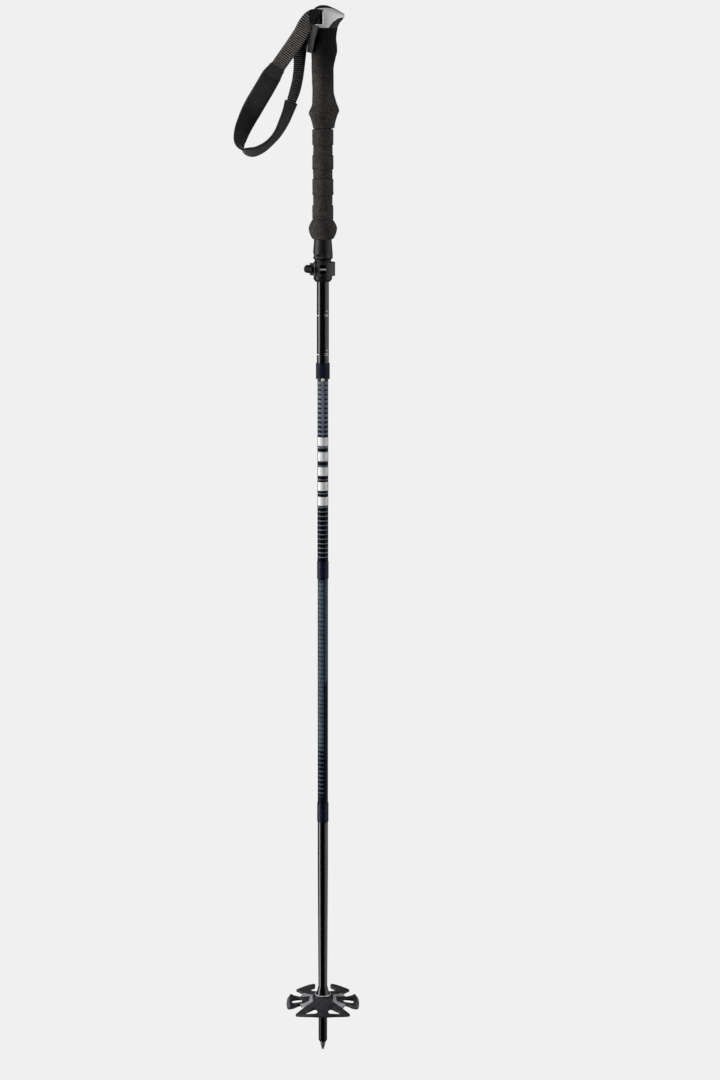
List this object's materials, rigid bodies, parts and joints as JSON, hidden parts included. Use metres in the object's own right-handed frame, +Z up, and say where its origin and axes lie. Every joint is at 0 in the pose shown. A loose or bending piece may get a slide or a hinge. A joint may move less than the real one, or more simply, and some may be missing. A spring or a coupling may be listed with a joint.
{
  "type": "folding ski pole",
  "caption": "Adjustable folding ski pole with a foam handle, padded wrist strap, lever clamp, snap-button shaft, plug-in folding joints, powder basket and carbide tip.",
  "frame": {"origin": "point of the carbide tip, on the shaft's axis", "axes": "+Z up the shaft to the handle; -Y is the side of the snap button and of one wide basket lobe; the wrist strap hangs out towards -X and the handle's beak points 35 degrees from +X towards +Y"},
  "size_m": [0.157, 0.0991, 1.3449],
  "materials": {
    "satin_silver": "satin silver coating",
    "black_rubber": "matt black rubber",
    "black_plastic": "moulded black nylon",
    "steel": "bright steel",
    "webbing": "ribbed charcoal webbing",
    "padded_strap": "brushed lining over thin foam",
    "foam": "fine-pored dark foam",
    "black_tube": "glossy black anodised tube",
    "slate_tube": "slate and navy printed tube",
    "inner_tube": "plain drawn aluminium",
    "navy_plastic": "satin navy moulding",
    "carbide": "sintered carbide",
    "cord": "braided cord",
    "basket_plastic": "dark grey moulded plastic",
    "grey_plastic": "silver-grey moulded plastic"
  },
  "bodies": {
    "handle": {"cap_shell": "satin_silver", "cap_top_pad": "black_rubber", "head_core": "black_rubber", "strap_pin": "steel", "strap_wedge": "black_plastic", "strap_upper_leg": "webbing", "strap_pad": "padded_strap", "strap_lower_leg": "webbing", "strap_tail": "webbing", "upper_grip": "foam", "lower_grip": "foam", "handle_tube": "black_tube", "tube_plug": "black_plastic", "clamp_housing": "black_plastic", "clamp_bolt": "steel", "lever_pin": "steel"},
    "lever": {"clamp_lever": "black_plastic", "tension_screw": "steel"},
    "adjuster": {"adjuster_nut": "black_plastic", "adjuster_disc": "steel"},
    "shaft": {"upper_shaft": "black_tube", "shaft_guide": "black_plastic", "collar": "navy_plastic", "section_2_tube": "slate_tube", "inner_guide": "black_plastic", "button_spring": "steel", "spring_seat": "black_plastic", "tension_spring": "steel", "ferrule_2_upper": "navy_plastic"},
    "button": {"snap_button": "steel"},
    "section_3": {"ferrule_2_lower": "navy_plastic", "joint_pin_2": "inner_tube", "section_3_tube": "slate_tube", "ferrule_3_upper": "navy_plastic"},
    "lower": {"ferrule_3_lower": "navy_plastic", "joint_pin_3": "inner_tube", "lower_shaft": "black_tube", "tip_sleeve": "black_plastic", "carbide_tip": "carbide", "basket_stop": "black_plastic", "cord_anchor": "black_plastic", "tension_cord": "cord", "cord_stop": "black_plastic"},
    "basket": {"basket": "basket_plastic", "basket_insert": "grey_plastic", "hub_ring": "grey_plastic"}
  },
  "joints": [
    {"name": "length_slide", "type": "slide", "parent": "handle", "child": "shaft", "axis": [0, 0, 1], "range_m": [-0.05, 0.1]},
    {"name": "lock_lever", "type": "hinge", "parent": "handle", "child": "lever", "pos_m": [-0.0087, -0.01634, 1.0219], "axis": [0, 0, 1], "range_deg": [-130, 0]},
    {"name": "adjuster_turn", "type": "hinge", "parent": "handle", "child": "adjuster", "pos_m": [-0.01658, -0.00508, 1.0219], "axis": [-0.5736, 0.8192, 0], "continuous": true},
    {"name": "button_press", "type": "slide", "parent": "shaft", "child": "button", "axis": [0, 1, 0], "range_m": [0, 0.0022], "stiffness_N_per_m": 800, "deforming": ["button_spring"]},
    {"name": "section_3_unplug", "type": "slide", "parent": "shaft", "child": "section_3", "axis": [0, 0, -1], "range_m": [0, 0.05], "stiffness_N_per_m": 300, "springref_m": -0.1, "deforming": ["tension_spring"]},
    {"name": "lower_unplug", "type": "slide", "parent": "section_3", "child": "lower", "axis": [0, 0, -1], "range_m": [0, 0.05], "stiffness_N_per_m": 300, "springref_m": -0.1, "deforming": ["tension_spring"]},
    {"name": "basket_turn", "type": "hinge", "parent": "lower", "child": "basket", "pos_m": [0, 0, 0.068], "axis": [0, 0, 1], "range_deg": [0, 90]}
  ]
}
